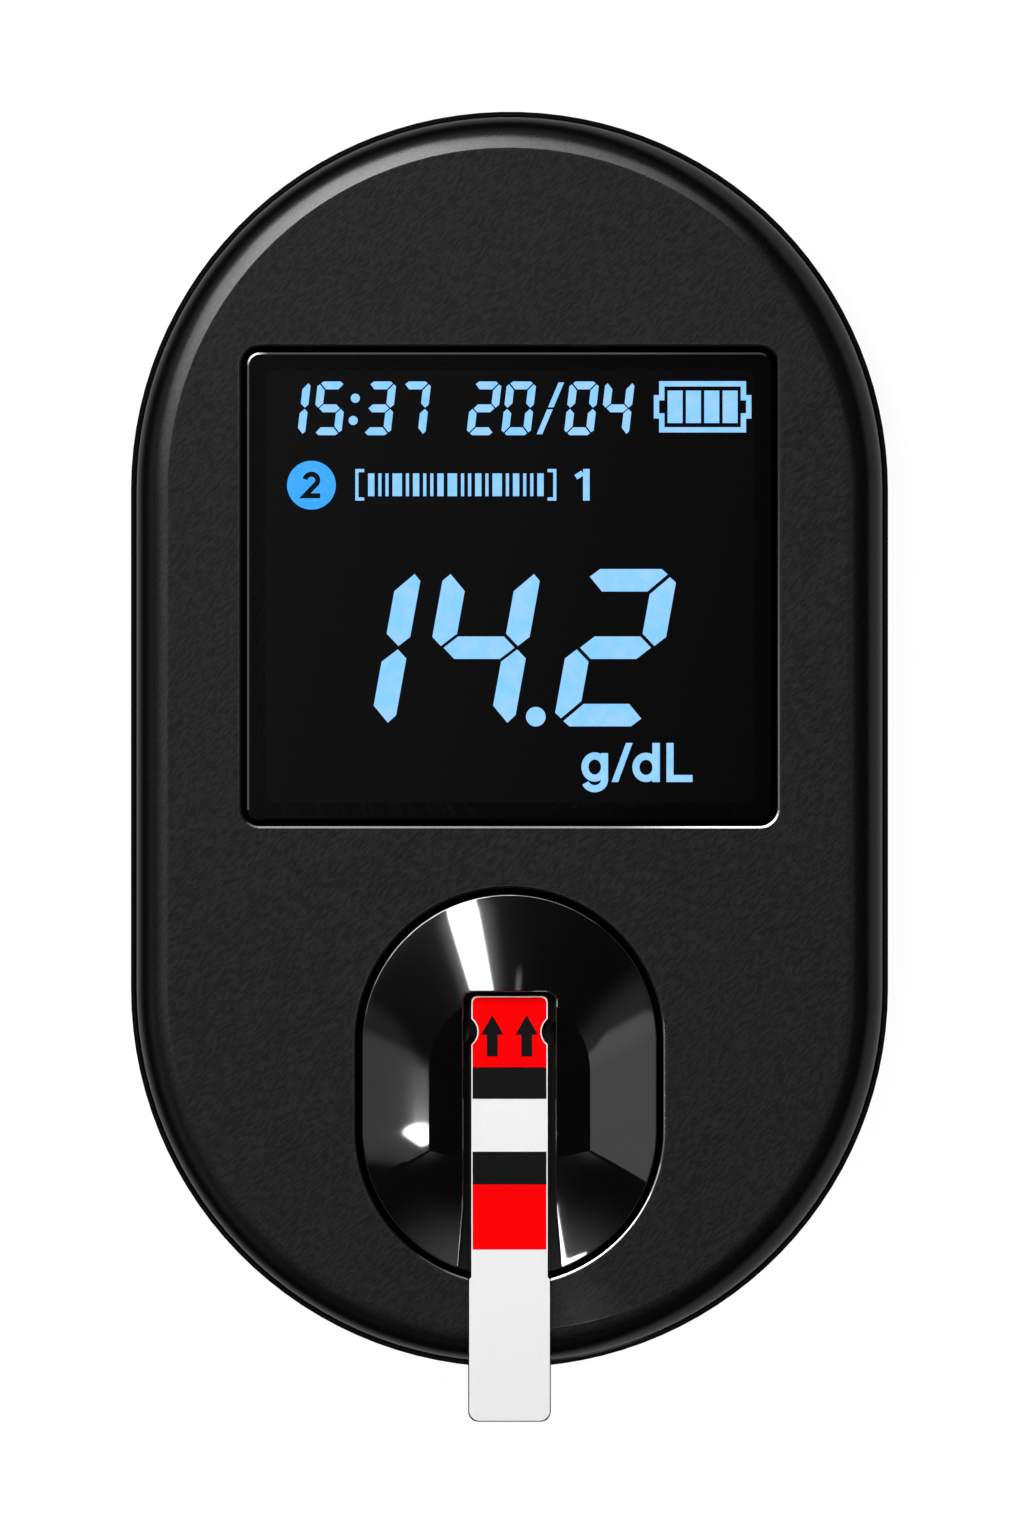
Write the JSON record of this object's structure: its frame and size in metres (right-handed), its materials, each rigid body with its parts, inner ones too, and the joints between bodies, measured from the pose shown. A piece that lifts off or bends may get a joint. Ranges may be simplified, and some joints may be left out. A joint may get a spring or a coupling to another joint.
{
  "type": "hemoglobin meter",
  "caption": "Hand-held blood hemoglobin meter: oval black case, lit display, test strip in a raised reading channel and side keys.",
  "frame": {"origin": "middle of the body, on the plane that the four rubber feet stand on", "axes": "+Z out of the display face, +Y towards the top of the meter, +X to the right when looking at the display"},
  "size_m": [0.06, 0.1036, 0.0223],
  "materials": {
    "cover_plastic": "matt black plastic with a fine leather-like grain",
    "gloss_trim": "gloss black plastic",
    "lens": "dark polished window, as good as opaque where nothing is lit",
    "adhesive": "grey foam tape",
    "foam": "black foam",
    "display": "dark panel with light blue lit segments",
    "clear_plastic": "clear light guide",
    "white_plastic": "white moulding",
    "flex_film": "amber flexible film",
    "gloss_dome": "polished piano black",
    "tray_plastic": "matt black, light-absorbing",
    "window": "smoked clear plastic",
    "lamp": "clear lamp resin",
    "sensor": "dark sensor resin",
    "circuit_board": "green solder mask",
    "black_plastic": "black component moulding",
    "key_plastic": "satin black key",
    "port_steel": "plated shell",
    "cell_pouch": "foil pouch",
    "wire": "insulated wire",
    "ivory_plastic": "ivory connector",
    "screw_steel": "blackened screw",
    "brass": "turned brass",
    "foot_rubber": "matt rubber",
    "label_film": "blank satin film",
    "strip_film": "dark film",
    "strip_card": "white coated card",
    "red_ink": "printed red",
    "black_ink": "printed black"
  },
  "bodies": {
    "case": {"front_cover": "cover_plastic", "rear_cover": "cover_plastic", "mid_band": "gloss_trim", "display_lens": "lens", "lens_adhesive": "adhesive", "display_gasket": "foam", "display_panel": "display", "light_guide": "clear_plastic", "display_frame": "white_plastic", "display_ribbon": "flex_film", "strip_dome": "gloss_dome", "strip_tray": "tray_plastic", "optical_window": "window", "optics_block": "tray_plastic", "read_leds": "lamp", "photodiode": "sensor", "sensor_board": "circuit_board", "board_header": "black_plastic", "main_board": "circuit_board", "board_chips": "black_plastic", "key_switches": "black_plastic", "charging_port": "port_steel", "battery_cell": "cell_pouch", "battery_tape": "adhesive", "battery_lead": "wire", "battery_plug": "ivory_plastic", "buzzer": "black_plastic", "case_screws": "screw_steel", "thread_inserts": "brass", "board_screws": "screw_steel", "tray_screws": "screw_steel", "rubber_feet": "foot_rubber", "rating_label": "label_film"},
    "strip": {"strip_base": "strip_film", "strip_card": "strip_card", "strip_red_bands": "red_ink", "strip_black_bands": "black_ink"},
    "power_key": {"power_button": "key_plastic"},
    "up_key": {"up_button": "key_plastic"},
    "down_key": {"down_button": "key_plastic"}
  },
  "joints": [
    {"name": "strip_slide", "type": "slide", "parent": "case", "child": "strip", "axis": [0, -1, 0], "range_m": [0, 0.032]},
    {"name": "power_press", "type": "slide", "parent": "case", "child": "power_key", "axis": [-1, 0, 0], "range_m": [0, 0.0004], "stiffness_N_per_m": 2500},
    {"name": "up_press", "type": "slide", "parent": "case", "child": "up_key", "axis": [1, 0, 0], "range_m": [0, 0.0004], "stiffness_N_per_m": 2500},
    {"name": "down_press", "type": "slide", "parent": "case", "child": "down_key", "axis": [1, 0, 0], "range_m": [0, 0.0004], "stiffness_N_per_m": 2500}
  ]
}
